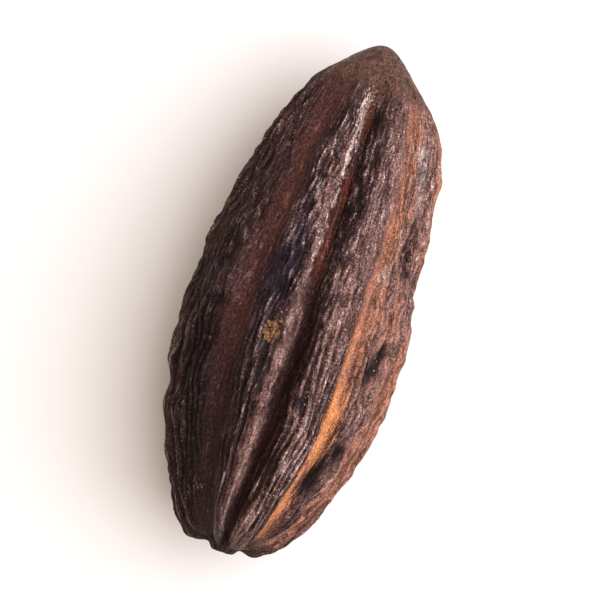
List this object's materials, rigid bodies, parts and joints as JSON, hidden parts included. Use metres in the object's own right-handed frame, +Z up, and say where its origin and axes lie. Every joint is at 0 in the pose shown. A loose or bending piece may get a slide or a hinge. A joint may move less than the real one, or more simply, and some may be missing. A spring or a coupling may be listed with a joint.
{
  "type": "cacao pod",
  "caption": "Dried cacao pod lying on its side, a long ovoid with wrinkled lengthwise ribs, deep furrows, a stalk scar in a dimple and a smooth blunt tip.",
  "frame": {"origin": "on the resting surface, under the middle of the pod's bounding box", "axes": "+Z up, +Y along the pod from the stalk end to the tip, +X across it"},
  "size_m": [0.0862, 0.1992, 0.0834],
  "materials": {
    "rind": "satin"
  },
  "bodies": {
    "root": {"cacao_pod": "rind"}
  },
  "joints": []
}
